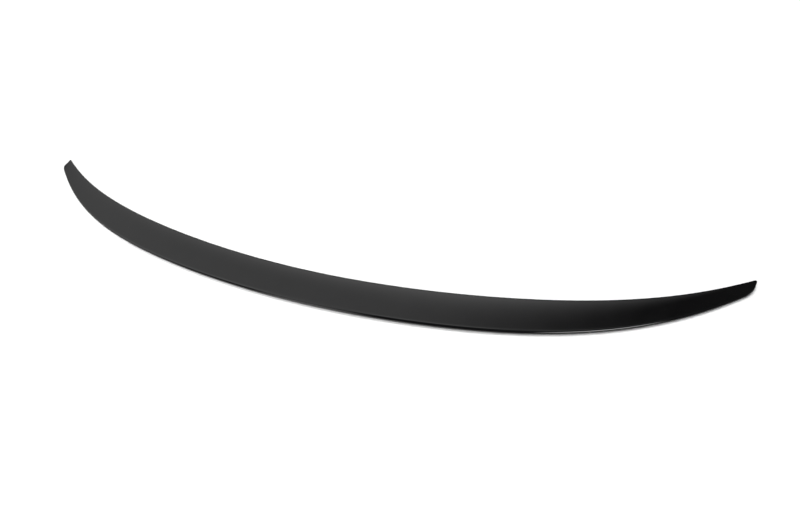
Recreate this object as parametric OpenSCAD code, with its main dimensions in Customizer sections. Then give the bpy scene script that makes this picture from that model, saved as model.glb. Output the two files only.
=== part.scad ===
// Boot lid lip spoiler, one gloss black moulding with a ribbed open underside.
// X runs across the car, Y forward and Z up.
// The origin is the middle of the flat bonding face, on the car's centre line.
// The crescent is one master section, scaled and moved at every station along X.

/* [Plan] */
// Length from tip to tip
lip_length = 1200; // [900:10:1500]
// Width from trailing to leading edge, at the middle
mid_width = 55; // [48:1:90]
// Width just before the rounded corner of each end
tip_width = 21; // [16:1:34]
// Even forward bow of the trailing edge, from the middle to the tips
bow = 85; // [20:1:160]
// Further forward sweep, gathered towards the tips
tip_sweep = 60; // [0:1:110]
// Radius of the rear corner of each end, in plan
corner_radius = 7.5; // [2:0.5:10]
// Radius of the front corner of each end, in plan
nose_corner = 2.5; // [1:0.5:4]

/* [Section] */
// Height of the trailing edge above the bonding face, at the middle
mid_crest = 12; // [11:0.5:24]
// Height of the trailing edge at the tips, to which the whole section shrinks
tip_crest = 6; // [4:0.5:12]
// Height of the rear face
rim = 5; // [3:0.5:7]
// How far the foot of the rear face leans in under the trailing edge
rim_lean = 0.8; // [0:0.1:1.5]
// Thickness of the leading edge
nose = 2; // [1.6:0.1:3.5]
// How sharply the top skin kicks up to the rear: 1 is a straight wedge
kick = 1.3; // [1:0.05:1.6]
// Rounding of the trailing edge
crest_round = 2; // [0.6:0.1:2.4]
// Rounding of the leading edge
nose_round = 0.9; // [0.5:0.1:1.4]
// Rounding of the foot of the rear face
foot_round = 0.5; // [0.3:0.1:0.8]
// Rounding of the top skin into the cut ends
end_round = 0.9; // [0.5:0.1:1.2]

/* [Underside] */
// Distance from the trailing edge to the bonding face
setback = 14; // [10:0.5:18]
// Width of the bonding land behind the recess
rear_land = 9; // [6:0.5:10]
// Width of the bonding land in front of the recess
front_land = 12; // [11:0.5:14]
// Plain stretch at each end that the recess doesn't reach
end_land = 90; // [80:1:200]
// Thickness of the top skin over the recess
skin = 2.2; // [1.2:0.1:2.5]
// Thickness of each cross rib
rib_thickness = 2.2; // [1:0.1:4]
// Distance between cross ribs
rib_pitch = 53; // [30:1:120]
// Radius of the corners between the ribs and the lands
bay_corner = 1.2; // [0.4:0.1:2]

/* [Hidden] */
half = lip_length / 2;
// Powers of the plan and height laws, from the middle (0) to the tips (1)
sweep_power = 6;
taper_power = 5;
height_power = 2;
// How deep the underside hollows between the land and the foot, from 0.5 for a straight slope
hollow = 0.6;
// Steps of each half, of its recess, of the corners and of the curved stretches of the section
half_steps = 40;
corner_steps = 7;
skin_steps = 9;
round_steps = 4;
foot_steps = 2;
under_steps = 3;
bay_steps = 3;
recess_steps = 30;
// The trailing edge's distance behind the origin
trail = (setback + mid_width) / 2;
// How far below the bonding face the bays' cutters start
overshoot = 1;
// The recess's half length
core_half = half - end_land;

// How far a station is towards the tip, from 0 to 1
function reach(x) = abs(x) / half;

// A size that goes from its value at the middle to that at the tips by a power of the reach
function ease(x, mid, tip, power) = mid + (tip - mid) * pow(reach(x), power);

// The value a share of the way from one to another
function between(from, to, share) = from + (to - from) * share;

// What a quarter circle takes off over its radius before each tip
function quarter(x, radius) =
    let (q = max(0, abs(x) - half + radius) / radius)
    radius * (1 - sqrt(max(0, 1 - q * q)));

// The trailing edge in plan, and the section's width and height there
function rear_y(x) =
    bow * pow(reach(x), 2) + tip_sweep * pow(reach(x), sweep_power) - trail
    + quarter(x, corner_radius);
function width(x) =
    ease(x, mid_width, tip_width, taper_power)
    - quarter(x, corner_radius) - quarter(x, nose_corner);
function crest(x) = ease(x, mid_crest, tip_crest, height_power) - quarter(x, end_round);

// A point [v, z] of the master section, v in front of the trailing edge, placed at a station
function placed(x, p) = [
    x,
    rear_y(x) + p.x * width(x) / mid_width,
    p.y * crest(x) / mid_crest
];

// The angle of the trailing edge in plan
function heading(x) =
    atan(sign(x) / half * (2 * bow * reach(x)
        + sweep_power * tip_sweep * pow(reach(x), sweep_power - 1)));

// Height of the top skin on the master section
function skin_z(v) = nose + (mid_crest - nose) * pow(1 - v / mid_width, kick);

// A curve from a to c that the corner b pulls on
function pulled(a, b, c, steps) =
    [for (i = [0:steps]) let (s = i / steps)
        (1 - s) * (1 - s) * a + 2 * s * (1 - s) * b + s * s * c];

// The corner b between a and c, rounded over a length of size to each side
function toward(from, to, size) = from + (to - from) * size / norm(to - from);
function rounded(a, b, c, size, steps) = pulled(toward(b, a, size), b, toward(b, c, size), steps);

// The master section, from the rear of the land round the foot, edge and nose
function master() =
    let (
        land = [setback, 0],
        foot = [rim_lean, mid_crest - rim],
        edge = [0, mid_crest],
        pull = [(land.x + foot.x) / 2, hollow * foot.y],
        skin_start = [crest_round, skin_z(crest_round)],
        skin_end = mid_width - nose_round
    )
    concat(
        [for (p = pulled(land, pull, foot, under_steps + 1)) if (p != foot) p],
        rounded(pull, foot, edge, foot_round, foot_steps),
        rounded(foot, edge, skin_start, crest_round, round_steps),
        [for (i = [1:skin_steps]) let (v = between(skin_start.x, skin_end, i / skin_steps))
            [v, skin_z(v)]],
        [for (i = [1:round_steps]) let (a = 90 * i / round_steps)
            [skin_end + nose_round * sin(a), nose - nose_round * (1 - cos(a))]],
        [[mid_width, 0]]
    );

// Stations from tip to tip, closer together round the end corners
function half_stations() = concat(
    [for (i = [0:half_steps - 1]) (half - corner_radius) * i / half_steps],
    [for (i = [0:corner_steps - 1]) half - corner_radius * (1 - sin(90 * i / corner_steps))],
    [half]
);
function mirrored(xs) = concat([for (i = [len(xs) - 1:-1:1]) -xs[i]], xs);

// Closed solid through the section at every station. Each end is closed round a heart, a point
// that sees the whole section.
module blade() {
    xs = mirrored(half_stations());
    section = master();
    count = len(section);
    last = len(xs) - 1;
    rings = [for (x = xs) for (p = section) placed(x, p)];
    hearts = [for (x = [xs[0], xs[last]]) placed(x, [setback + nose, nose / 2])];
    walls = [for (i = [0:last - 1]) for (k = [0:count - 1])
        let (a = i * count + k, b = i * count + (k + 1) % count)
        each [[a, b, b + count], [a, b + count, a + count]]];
    caps = [for (k = [0:count - 1])
        let (b = (k + 1) % count, far = last * count, heart = len(rings))
        each [[heart, b, k], [heart + 1, far + k, far + b]]];
    polyhedron(concat(rings, hearts), concat(walls, caps));
}

// Plan of the recess, between its rear and front lands
module recess_plan() {
    xs = [for (i = [-recess_steps:recess_steps]) core_half * i / recess_steps];
    rear = [for (x = xs) [x, placed(x, [setback, 0]).y + rear_land]];
    front = [for (i = [len(xs) - 1:-1:0]) [xs[i], placed(xs[i], [mid_width, 0]).y - front_land]];
    polygon(concat(rear, front));
}

// Cross ribs square to the trailing edge, to both sides of the one on the centre line
module rib_plan() {
    count = floor((core_half - rib_thickness) / rib_pitch);
    for (i = [-count:count]) {
        x = i * rib_pitch;
        translate([x, rear_y(x) + width(x) / 2])
            rotate(heading(x))
                square([rib_thickness, 2 * mid_width], center = true);
    }
}

// The bays between the ribs, with rounded corners, up to a skin's thickness below the top
module bays() {
    intersection() {
        translate([0, 0, -skin])
            blade();
        translate([0, 0, -overshoot])
            linear_extrude(mid_crest)
                offset(bay_corner, $fn = 4 * bay_steps)
                    offset(delta = -bay_corner)
                        difference() {
                            recess_plan();
                            rib_plan();
                        }
    }
}

module lip() {
    color("#17181a")
        difference() {
            blade();
            bays();
        }
}

lip();
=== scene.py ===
"""The looks of a boot lid lip spoiler: a gloss black moulded crescent on a white studio floor.

The lip is traced as one section on the car's centre line, extruded to its tip, mirrored and
subdivided. Its underside is hollowed by a row of bays with cross ribs between them.
X runs across the car, Y forward and Z up. Lengths are in metres.
"""

import math

import bpy
from mathutils import Matrix, Vector


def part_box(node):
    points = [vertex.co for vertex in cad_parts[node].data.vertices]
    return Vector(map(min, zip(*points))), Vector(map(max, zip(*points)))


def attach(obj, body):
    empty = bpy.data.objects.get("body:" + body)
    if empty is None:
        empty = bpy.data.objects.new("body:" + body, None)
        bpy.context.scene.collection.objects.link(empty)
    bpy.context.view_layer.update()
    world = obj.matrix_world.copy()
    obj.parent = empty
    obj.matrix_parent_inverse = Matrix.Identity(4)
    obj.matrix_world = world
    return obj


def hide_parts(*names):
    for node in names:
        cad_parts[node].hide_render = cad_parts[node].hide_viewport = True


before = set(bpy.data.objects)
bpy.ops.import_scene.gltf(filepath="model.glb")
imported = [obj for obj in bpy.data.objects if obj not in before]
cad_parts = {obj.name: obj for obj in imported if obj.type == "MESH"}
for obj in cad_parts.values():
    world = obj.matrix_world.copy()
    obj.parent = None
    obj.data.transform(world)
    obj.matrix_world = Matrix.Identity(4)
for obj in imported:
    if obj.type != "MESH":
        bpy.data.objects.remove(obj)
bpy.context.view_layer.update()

# The lip, as its maker draws it. The rear face, RIM high, is a little higher than in the solid.
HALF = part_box("lip")[1].x
MID_WIDTH = 0.055
TIP_WIDTH = 0.021
BOW = 0.085
TIP_SWEEP = 0.060
MID_CREST = 0.012
TIP_CREST = 0.006
RIM = 0.006
RIM_LEAN = 0.0008
NOSE = 0.002
KICK = 1.3
HOLLOW = 0.6
SETBACK = 0.014
TRAIL = (SETBACK + MID_WIDTH) / 2
SWEEP_POWER = 6
TAPER_POWER = 5
HEIGHT_POWER = 2

# Roundings. NOSE_CORNER, CREST_ROUND and END_ROUND are larger than in the solid.
CORNER_RADIUS = 0.0075
NOSE_CORNER = 0.0035
CREST_ROUND = 0.0052
NOSE_ROUND = 0.0009
FOOT_ROUND = 0.0005
END_ROUND = 0.0030

# The underside's bays and ribs
REAR_LAND = 0.009
FRONT_LAND = 0.012
END_LAND = 0.090
SKIN = 0.0022
RIB_THICKNESS = 0.0022
RIB_PITCH = 0.053
BAY_CORNER = 0.0012
BAY_CORNER_ANGLE = math.radians(60)
CORE_HALF = HALF - END_LAND
# How far the bays' blanks start below the lands and end above the crest
UNDERCUT = 0.004
OVERSHOOT = MID_CREST

# How finely the lip is made
HALF_STATIONS = 30
CORNER_STATIONS = 9
CORE_STATIONS = 24
SKIN_POINTS = 12
ROUND_POINTS = 6
FOOT_POINTS = 3
UNDER_POINTS = 4
BAY_CORNER_POINTS = 3
SMOOTHING = 2
SHARP_ANGLE = math.radians(22)
MERGE = 0.00001
# The rise of a normal above which a face belongs to the top skin
SKIN_RISE = 0.5

# Finishes: the shades and the roughness of each, and how large their patches are
GLOSS_SHADES = ((0.0022, 0.0022, 0.0024, 1), (0.0036, 0.0036, 0.0038, 1))
GLOSS_PATCH = 0.02
GLOSS_ROUGHNESS = (0.03, 0.05)
GLOSS_ROUGHNESS_PATCH = 0.03
GLOSS_IOR = 1.5
PEEL_CELL = 0.003
PEEL_DETAIL = 0.0
PEEL_DEPTH = 0.0000012
PEEL_STRENGTH = 1.0
SATIN_SHADES = ((0.024, 0.024, 0.025, 1), (0.034, 0.034, 0.035, 1))
SATIN_PATCH = 0.012
SATIN_ROUGHNESS = (0.38, 0.52)
SATIN_ROUGHNESS_PATCH = 0.008
GRAIN_CELL = 0.0005
GRAIN_DETAIL = 3.0
GRAIN_DEPTH = 0.00002
GRAIN_STRENGTH = 0.6
PATCH_DETAIL = 2.0
# The stretch of a noise's range that most of it lies in
NOISE_RANGE = (0.3, 0.7)

# The room that the gloss mirrors. A patch of light is given by its azimuth and height, and by the
# angles off its centre at which it starts and is full, in degrees.
SIDE_WALL = (178.5, 29.1, 50.4, 38.1)
SIDE_WALL_LIGHT = 0.697
WALL_END = (-164, 20, 17, 10)
CANOPY = (176.3, 69.0, 39.0, 25.0)
CANOPY_LIGHT = 0.837
CEILING = (0, 90, 40.8, 26.5)
REAR_BOX = (-84, 53, 13, 8)
REAR_BOX_LIGHT = 11
CORNER_BOX = (-129, 27, 8, 4)
CORNER_BOX_LIGHT = 5
ROOM_LIGHT = 0.05
# Where the walls come out of the dark, by a direction's part along Y, and where the white
# backdrop ends, by its part along Z
DARK_REAR = (-0.22, -0.12)
BACKDROP_TOP = (0.05, 0.1)

# The floor, the soft light all round and the softboxes. A softbox is given by its azimuth and
# height, its radiance, and the width and height that it fills, in degrees.
SOFT_LIGHT = 0.05
FLOOR_SIZE = 3.2
FLOOR_WHITE = (0.97, 0.97, 0.97, 1)
FLOOR_GAP = 0.00005
# How far the lands reach past the floor's opening, and how far the satin reaches past the bays
LAND_MARGIN = 0.002
# How far the lip's ends reach past the floor's opening
END_MARGIN = 0.011
LAMP_DISTANCE = 12.0
SOFTBOXES = {
    "overhead_softbox": (-90, 88, 4.0, 60, 36),
    "left_softbox": (-160, 32, 4.4, 30, 30),
    "right_softbox": (-20, 32, 4.4, 30, 30),
    "underside_softbox": (-60, -60, 1.6, 60, 60),
}

# The photograph's viewpoint
VIEW_TURN = math.radians(55.98)
VIEW_HEIGHT = math.radians(52.30)
VIEW_ROLL = math.radians(-37.84)
VIEW_DISTANCE = 1.3389
VIEW_RIGHT = 0.1415
VIEW_UP = 0.0240
LENS_MM = 41.863
SENSOR_MM = 36


# The lip's form

def reach(x):
    """How far a station is towards the tip, from 0 to 1."""
    return abs(x) / HALF


def ease(x, middle, tip, power):
    """A size that goes from its value at the middle to that at the tips."""
    return middle + (tip - middle) * reach(x) ** power


def quarter(x, radius):
    """What a quarter circle takes off over its radius before each tip."""
    share = min(1.0, max(0.0, abs(x) - HALF + radius) / radius)
    return radius * (1 - math.sqrt(1 - share * share))


def rear_y(x):
    """The trailing edge's place in plan."""
    sweep = BOW * reach(x) ** 2 + TIP_SWEEP * reach(x) ** SWEEP_POWER
    return sweep - TRAIL + quarter(x, CORNER_RADIUS)


def width(x):
    straight = ease(x, MID_WIDTH, TIP_WIDTH, TAPER_POWER)
    return straight - quarter(x, CORNER_RADIUS) - quarter(x, NOSE_CORNER)


def crest(x):
    return ease(x, MID_CREST, TIP_CREST, HEIGHT_POWER) - quarter(x, END_ROUND)


def heading(x):
    """The angle of the trailing edge in plan."""
    slope = 2 * BOW * reach(x) + SWEEP_POWER * TIP_SWEEP * reach(x) ** (SWEEP_POWER - 1)
    return math.atan(math.copysign(slope, x) / HALF)


def skin_z(v):
    """Height of the top skin on the middle section, v in front of the trailing edge."""
    return NOSE + (MID_CREST - NOSE) * (1 - v / MID_WIDTH) ** KICK


def rear_of_land(x):
    return SETBACK * width(x) / MID_WIDTH


def rear_of_bays(x):
    return rear_of_land(x) + REAR_LAND


def front_of_bays(x):
    return width(x) - FRONT_LAND


def at_station(x, v, z):
    """A point of the section at a station, v in front of the trailing edge."""
    return Vector((x, rear_y(x) + v, z))


def between(start, end, count):
    """Values from start to end, both included."""
    return [start + (end - start) * i / count for i in range(count + 1)]


def pulled(a, b, c, count):
    """A curve from a to c that the corner b pulls on."""
    return [(1 - s) ** 2 * a + 2 * s * (1 - s) * b + s * s * c for s in between(0, 1, count)]


def rounded(a, b, c, size, count):
    """The corner b, rounded to an arc over a length of size towards a and towards c."""
    back, on = (a - b).normalized(), (c - b).normalized()
    half_corner = back.angle(on) / 2
    radius = size * math.tan(half_corner)
    centre = b + (back + on).normalized() * radius / math.sin(half_corner)
    start = b + back * size - centre
    turn = start.angle_signed(b + on * size - centre)
    return [centre + Matrix.Rotation(-turn * i / count, 2) @ start for i in range(count + 1)]


def middle_section():
    """The section on the centre line, from the rear of the bonding land round to its front."""
    land = Vector((SETBACK, 0))
    foot = Vector((RIM_LEAN, MID_CREST - RIM))
    edge = Vector((0, MID_CREST))
    pull = Vector(((land.x + foot.x) / 2, HOLLOW * foot.y))
    skin_start = Vector((CREST_ROUND, skin_z(CREST_ROUND)))
    skin_end = MID_WIDTH - NOSE_ROUND
    skin = [Vector((v, skin_z(v))) for v in between(skin_start.x, skin_end, SKIN_POINTS)]
    nose = [Vector((skin_end + NOSE_ROUND * math.sin(a), NOSE - NOSE_ROUND * (1 - math.cos(a))))
            for a in between(0, math.pi / 2, ROUND_POINTS)]
    return (pulled(land, pull, foot, UNDER_POINTS)[:-1]
            + rounded(pull, foot, edge, FOOT_ROUND, FOOT_POINTS)
            + rounded(foot, edge, skin_start, CREST_ROUND, ROUND_POINTS)
            + skin[1:] + nose[1:]
            + [Vector((MID_WIDTH, 0))])


def half_stations():
    """Stations from the centre line to the tip, closer together round the end corner."""
    corner = HALF - CORNER_RADIUS
    turn = between(0, math.pi / 2, CORNER_STATIONS)
    return (between(0, corner, HALF_STATIONS)[:-1]
            + [corner + CORNER_RADIUS * math.sin(a) for a in turn])


# Working on meshes

def deselect():
    bpy.ops.object.select_all(action="DESELECT")


def pick(piece):
    """Selects one piece alone and makes it the active one."""
    deselect()
    piece.select_set(True)
    bpy.context.view_layer.objects.active = piece


def edit(piece, mode="VERT"):
    """Opens a piece for editing, with nothing on it selected."""
    pick(piece)
    bpy.ops.object.mode_set(mode="EDIT")
    bpy.ops.mesh.select_mode(type=mode)
    bpy.ops.mesh.select_all(action="DESELECT")


def close_edit():
    bpy.ops.object.mode_set(mode="OBJECT")


def select_faces(piece, chosen):
    """Selects the faces that a test of their centre and normal picks."""
    bpy.ops.object.mode_set(mode="OBJECT")
    for face in piece.data.polygons:
        face.select = chosen(face.center, face.normal)
    bpy.ops.object.mode_set(mode="EDIT")


def select_edges(piece, chosen):
    """Selects the edges that a test of their two ends picks."""
    bpy.ops.object.mode_set(mode="OBJECT")
    points = [vertex.co.copy() for vertex in piece.data.vertices]
    for edge in piece.data.edges:
        edge.select = chosen(*[points[i] for i in edge.vertices])
    bpy.ops.object.mode_set(mode="EDIT")


def merge_and_turn_outwards():
    bpy.ops.mesh.select_all(action="SELECT")
    bpy.ops.mesh.remove_doubles(threshold=MERGE)
    bpy.ops.mesh.normals_make_consistent(inside=False)


def trace(name, points):
    """A closed outline, traced by extruding one corner from point to point."""
    deselect()
    # A plane of any size will do, because it is merged into the first corner
    bpy.ops.mesh.primitive_plane_add(size=RIM, location=points[0])
    outline = bpy.context.object
    outline.name = outline.data.name = name
    bpy.ops.object.transform_apply(location=True, rotation=False, scale=False)
    edit(outline)
    bpy.ops.mesh.select_all(action="SELECT")
    bpy.ops.mesh.merge(type="CENTER")
    for last, point in zip(points, points[1:]):
        bpy.ops.mesh.extrude_region_move(TRANSFORM_OT_translate={"value": point - last})
    bpy.ops.mesh.select_all(action="SELECT")
    bpy.ops.mesh.edge_face_add()
    bpy.ops.mesh.delete(type="ONLY_FACE")
    close_edit()
    return outline


def copy_of(piece, name):
    """A copy with its own mesh."""
    pick(piece)
    bpy.ops.object.duplicate()
    copy = bpy.context.object
    copy.name = copy.data.name = name
    return copy


def join(pieces):
    """Puts several pieces into the first one's mesh."""
    deselect()
    for piece in pieces:
        piece.select_set(True)
    bpy.context.view_layer.objects.active = pieces[0]
    bpy.ops.object.transform_apply(location=True, rotation=True, scale=True)
    bpy.ops.object.join()
    return bpy.context.object


def add_modifier(piece, kind, **settings):
    """Adds a modifier with its settings and applies it."""
    pick(piece)
    modifier = piece.modifiers.new(kind.title(), kind)
    for name, value in settings.items():
        setattr(modifier, name, value)
    bpy.ops.object.modifier_apply(modifier=modifier.name)


def combine(piece, tool, operation):
    """Cuts a piece with a tool, or keeps what both share, and removes the tool."""
    add_modifier(piece, "BOOLEAN", object=tool, operation=operation, solver="EXACT")
    bpy.data.objects.remove(tool)


# The lip

def extrude_to_tip(stations):
    """Extrudes the selected outline from station to station, and scales it on the way."""
    for last, x in zip(stations, stations[1:]):
        step = Vector((x - last, rear_y(x) - rear_y(last), 0))
        bpy.ops.mesh.extrude_region_move(TRANSFORM_OT_translate={"value": step})
        bpy.ops.transform.resize(value=(1, width(x) / width(last), crest(x) / crest(last)),
                                 center_override=at_station(x, 0, 0))


def is_kept_sharp(a, b):
    """Whether an edge runs along the bonding land's front or rear, or round the cut end."""
    along_land = max(a.z, b.z) < MERGE and abs(a.x - b.x) > MERGE
    round_end = min(a.x, b.x) > HALF - MERGE
    return along_land or round_end


def shell():
    """The outside of the lip, closed and solid."""
    piece = trace("lip_shell", [at_station(0, *p) for p in middle_section()])
    edit(piece, "EDGE")
    bpy.ops.mesh.select_all(action="SELECT")
    extrude_to_tip(half_stations())
    bpy.ops.mesh.edge_face_add()
    select_edges(piece, is_kept_sharp)
    bpy.ops.transform.edge_crease(value=1)
    close_edit()
    add_modifier(piece, "MIRROR", merge_threshold=MERGE)
    edit(piece, "FACE")
    merge_and_turn_outwards()
    close_edit()
    return piece


def rib_blanks():
    """The cross ribs as plain blocks, square to the trailing edge."""
    count = math.floor((CORE_HALF - RIB_THICKNESS) / RIB_PITCH)
    blocks = []
    for i in range(-count, count + 1):
        x = i * RIB_PITCH
        deselect()
        bpy.ops.mesh.primitive_cube_add(
            size=1, location=at_station(x, width(x) / 2, 0), rotation=(0, 0, heading(x)),
            scale=(RIB_THICKNESS, 2 * MID_WIDTH, 4 * MID_CREST))
        blocks.append(bpy.context.object)
    return join(blocks)


def bay_blank():
    """A block over the whole recess, from below the lands to above the crest."""
    stations = between(-CORE_HALF, CORE_HALF, 2 * CORE_STATIONS)
    rear = [at_station(x, rear_of_bays(x), -UNDERCUT) for x in stations]
    front = [at_station(x, front_of_bays(x), -UNDERCUT) for x in reversed(stations)]
    block = trace("bays", rear + front)
    edit(block, "EDGE")
    bpy.ops.mesh.select_all(action="SELECT")
    bpy.ops.mesh.edge_face_add()
    bpy.ops.mesh.extrude_region_move(
        TRANSFORM_OT_translate={"value": (0, 0, UNDERCUT + MID_CREST + OVERSHOOT)})
    merge_and_turn_outwards()
    close_edit()
    return block


def bays(solid):
    """What the bays take out: their plan, less the ribs, up to a skin's thickness below the top."""
    hollow = bay_blank()
    combine(hollow, rib_blanks(), "DIFFERENCE")
    add_modifier(hollow, "BEVEL", width=BAY_CORNER, segments=BAY_CORNER_POINTS,
                 limit_method="ANGLE", angle_limit=BAY_CORNER_ANGLE)
    roof = copy_of(solid, "bay_roof")
    bpy.ops.transform.translate(value=(0, 0, -SKIN))
    bpy.ops.object.transform_apply(location=True, rotation=False, scale=False)
    combine(hollow, roof, "INTERSECT")
    return hollow


def is_as_moulded(centre, normal):
    """Whether a face is on the bonding land or in a bay, where it stays satin."""
    v = centre.y - rear_y(centre.x)
    in_bay = (abs(centre.x) < CORE_HALF + LAND_MARGIN
              and rear_of_bays(centre.x) - LAND_MARGIN < v < front_of_bays(centre.x) + LAND_MARGIN)
    return normal.z < SKIN_RISE and (in_bay or centre.z < MERGE)


def make_lip():
    lip = shell()
    hollow = bays(lip)
    add_modifier(lip, "SUBSURF", levels=SMOOTHING, render_levels=SMOOTHING)
    combine(lip, hollow, "DIFFERENCE")
    lip.data.materials.append(deep_gloss_black())
    lip.data.materials.append(satin_moulded_black())
    edit(lip, "FACE")
    select_faces(lip, is_as_moulded)
    lip.active_material_index = lip.data.materials.find("satin_moulded_black")
    bpy.ops.object.material_slot_assign()
    close_edit()
    bpy.ops.object.shade_smooth_by_angle(angle=SHARP_ANGLE)
    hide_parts("lip")
    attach(lip, "root")


# Working on nodes

def new_material(name):
    material = bpy.data.materials.new(name)
    material.use_nodes = True
    return material


def fill(tree, node, name, value):
    """Fills a node's input from a value or from another node's output."""
    if isinstance(value, bpy.types.NodeSocket):
        tree.links.new(value, node.inputs[name])
    else:
        node.inputs[name].default_value = value


def add(tree, kind, inputs=None, **settings):
    """Adds a node, sets it up and fills its inputs."""
    node = tree.nodes.new("ShaderNode" + kind)
    for name, value in settings.items():
        setattr(node, name, value)
    for name, value in (inputs or {}).items():
        fill(tree, node, name, value)
    return node


def calculate(tree, operation, *values):
    return add(tree, "Math", dict(enumerate(values)), operation=operation).outputs[0]


def mix(tree, share, first, second):
    """The first value where the share is 0, and the second where it is 1."""
    return add(tree, "Mix", {"Factor": share, "A": first, "B": second}).outputs["Result"]


def fade(tree, value, start, end):
    """From 0 to 1 while a value goes from its start to its end."""
    return add(tree, "MapRange", {"Value": value, "From Min": start,
                                  "From Max": end}).outputs["Result"]


# Finishes

def mottle(tree, size, low=0.0, high=1.0, detail=PATCH_DETAIL):
    """A value that wanders between low and high over patches of a size on the piece."""
    place = add(tree, "TexCoord").outputs["Object"]
    noise = add(tree, "TexNoise", {"Vector": place, "Scale": 1 / size, "Detail": detail})
    return add(tree, "MapRange", {"Value": noise.outputs["Fac"], "From Min": NOISE_RANGE[0],
                                  "From Max": NOISE_RANGE[1], "To Min": low,
                                  "To Max": high}).outputs["Result"]


def shade_of_black(tree, shades, size):
    """A black that wanders between two shades."""
    blend = add(tree, "Mix", {"Factor": mottle(tree, size), "A": shades[0], "B": shades[1]},
                data_type="RGBA")
    return blend.outputs["Result"]


def relief(tree, height, strength, depth):
    return add(tree, "Bump", {"Height": height, "Strength": strength,
                              "Distance": depth}).outputs["Normal"]


def deep_gloss_black():
    """Deep black, polished by the mould, with the faintest orange peel."""
    material = new_material("deep_gloss_black")
    tree = material.node_tree
    shader = tree.nodes["Principled BSDF"]
    shader.inputs["IOR"].default_value = GLOSS_IOR
    fill(tree, shader, "Base Color", shade_of_black(tree, GLOSS_SHADES, GLOSS_PATCH))
    fill(tree, shader, "Roughness", mottle(tree, GLOSS_ROUGHNESS_PATCH, *GLOSS_ROUGHNESS))
    peel = mottle(tree, PEEL_CELL, detail=PEEL_DETAIL)
    fill(tree, shader, "Normal", relief(tree, peel, PEEL_STRENGTH, PEEL_DEPTH))
    return material


def satin_moulded_black():
    """The underside as it comes out of the mould, satin and finely grained."""
    material = new_material("satin_moulded_black")
    tree = material.node_tree
    shader = tree.nodes["Principled BSDF"]
    fill(tree, shader, "Base Color", shade_of_black(tree, SATIN_SHADES, SATIN_PATCH))
    fill(tree, shader, "Roughness", mottle(tree, SATIN_ROUGHNESS_PATCH, *SATIN_ROUGHNESS))
    grain = mottle(tree, GRAIN_CELL, detail=GRAIN_DETAIL)
    fill(tree, shader, "Normal", relief(tree, grain, GRAIN_STRENGTH, GRAIN_DEPTH))
    return material


def white_floor():
    """Matt white from above, and clear from below so that the underside can be seen."""
    material = new_material("white_floor")
    tree = material.node_tree
    tree.nodes.remove(tree.nodes["Principled BSDF"])
    top = add(tree, "BsdfDiffuse", {"Color": FLOOR_WHITE}).outputs["BSDF"]
    clear = add(tree, "BsdfTransparent").outputs["BSDF"]
    from_below = add(tree, "NewGeometry").outputs["Backfacing"]
    both = add(tree, "MixShader", {0: from_below, 1: top, 2: clear})
    fill(tree, tree.nodes["Material Output"], "Surface", both.outputs["Shader"])
    return material


# Studio

def direction(azimuth, height):
    """The way towards a place in the studio. Azimuth 0 is +X and 90 is +Y, in degrees."""
    a, h = math.radians(azimuth), math.radians(height)
    return Vector((math.cos(h) * math.cos(a), math.cos(h) * math.sin(a), math.sin(h)))


def glow(tree, way, azimuth, height, edge, full):
    """A soft round patch, from 0 outside its edge to 1 where it is full."""
    off = add(tree, "VectorMath", {0: way, 1: direction(azimuth, height)}, operation="DOT_PRODUCT")
    return add(tree, "MapRange", {"Value": off.outputs["Value"],
                                  "From Min": math.cos(math.radians(edge)),
                                  "From Max": math.cos(math.radians(full))},
               interpolation_type="SMOOTHSTEP").outputs["Result"]


def room_light(tree, way):
    """The room that the gloss mirrors: lit walls, a dark ceiling and two small boxes of light."""
    place = add(tree, "SeparateXYZ", {"Vector": way}).outputs
    canopy = calculate(tree, "MULTIPLY", glow(tree, way, *CANOPY), CANOPY_LIGHT)
    walls = calculate(tree, "MULTIPLY_ADD", glow(tree, way, *SIDE_WALL), SIDE_WALL_LIGHT, canopy)
    below_ceiling = calculate(tree, "SUBTRACT", 1.0, glow(tree, way, *CEILING))
    lit = calculate(tree, "MULTIPLY", below_ceiling, fade(tree, place["Y"], *DARK_REAR))
    room = calculate(tree, "MULTIPLY_ADD", walls, lit, ROOM_LIGHT)
    for patch, light in ((REAR_BOX, REAR_BOX_LIGHT), (CORNER_BOX, CORNER_BOX_LIGHT),
                         (WALL_END, SIDE_WALL_LIGHT)):
        room = calculate(tree, "MULTIPLY_ADD", glow(tree, way, *patch), light, room)
    above_backdrop = fade(tree, place["Z"], *BACKDROP_TOP)
    return mix(tree, above_backdrop, 1.0, room)


def studio_world():
    """A white background, the room above it in the gloss, and a little soft light."""
    world = bpy.data.worlds.new("studio")
    bpy.context.scene.world = world
    world.use_nodes = True
    tree = world.node_tree
    path = add(tree, "LightPath").outputs
    way = add(tree, "TexCoord").outputs["Generated"]
    seen = calculate(tree, "MAXIMUM", path["Is Camera Ray"], path["Is Transmission Ray"])
    plain = mix(tree, seen, SOFT_LIGHT, 1.0)
    light = mix(tree, path["Is Glossy Ray"], plain, room_light(tree, way))
    background = tree.nodes["Background"]
    background.inputs["Color"].default_value = (1, 1, 1, 1)
    fill(tree, background, "Strength", light)


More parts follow.
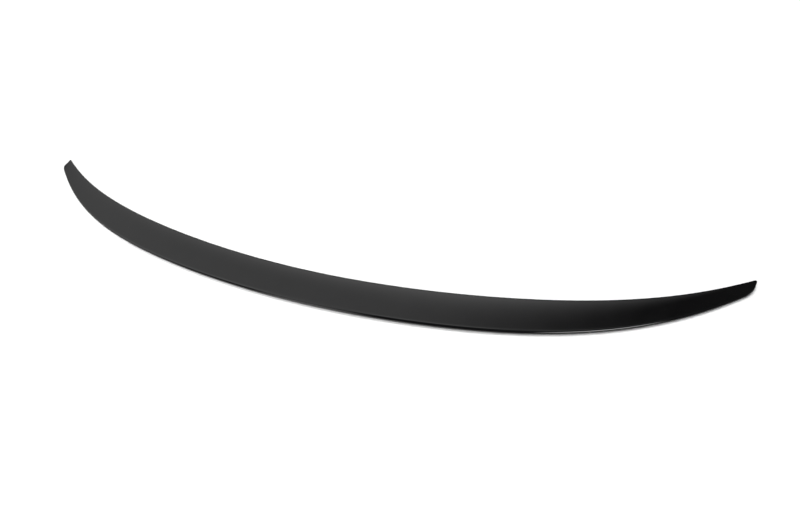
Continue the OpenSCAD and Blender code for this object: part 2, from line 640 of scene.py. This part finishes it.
def studio_floor():
    """A floor that keeps the lip's shadow, with an opening in it that the lip covers."""
    stations = between(END_MARGIN - HALF, HALF - END_MARGIN, 2 * CORE_STATIONS)
    rear = [at_station(x, rear_of_land(x) + LAND_MARGIN, 0) for x in stations]
    front = [at_station(x, width(x) - LAND_MARGIN, 0) for x in reversed(stations)]
    corners = [Vector((x, y, 0)) * FLOOR_SIZE / 2 for x, y in ((-1, -1), (1, -1), (1, 1), (-1, 1))]
    floor = join([trace("floor", rear + front), trace("floor_edge", corners)])
    edit(floor)
    bpy.ops.mesh.select_all(action="SELECT")
    bpy.ops.mesh.fill()
    bpy.ops.transform.translate(value=(0, 0, -FLOOR_GAP))
    close_edit()
    floor.data.materials.append(white_floor())


def softbox(name, azimuth, height, radiance, wide, high):
    """A softbox that lights surfaces and isn't mirrored in them."""
    towards = direction(azimuth, height)
    deselect()
    bpy.ops.object.light_add(type="AREA", location=towards * LAMP_DISTANCE)
    lamp = bpy.context.object
    lamp.name = lamp.data.name = name
    lamp.rotation_euler = towards.to_track_quat("Z", "Y").to_euler()
    lamp.data.shape = "RECTANGLE"
    lamp.data.size = 2 * LAMP_DISTANCE * math.tan(math.radians(wide / 2))
    lamp.data.size_y = 2 * LAMP_DISTANCE * math.tan(math.radians(high / 2))
    lamp.data.energy = radiance * math.pi * lamp.data.size * lamp.data.size_y
    lamp.visible_glossy = False


def place_camera():
    """The camera, at the photograph's distance, turn, height and roll."""
    back = Vector((math.sin(VIEW_TURN) * math.cos(VIEW_HEIGHT),
                   -math.cos(VIEW_TURN) * math.cos(VIEW_HEIGHT),
                   math.sin(VIEW_HEIGHT)))
    level = Vector((math.cos(VIEW_TURN), math.sin(VIEW_TURN), 0))
    upright = back.cross(level)
    right = level * math.cos(VIEW_ROLL) + upright * math.sin(VIEW_ROLL)
    up = upright * math.cos(VIEW_ROLL) - level * math.sin(VIEW_ROLL)
    deselect()
    bpy.ops.object.camera_add()
    camera = bpy.context.object
    camera.name = "camera"
    camera.matrix_world = Matrix((right, up, back)).transposed().to_4x4()
    camera.location = back * VIEW_DISTANCE + right * VIEW_RIGHT + up * VIEW_UP
    camera.data.lens = LENS_MM
    camera.data.sensor_width = SENSOR_MM
    bpy.context.scene.camera = camera


bpy.context.scene.view_settings.view_transform = "Standard"
make_lip()
studio_world()
studio_floor()
for name, box in SOFTBOXES.items():
    softbox(name, *box)
place_camera()
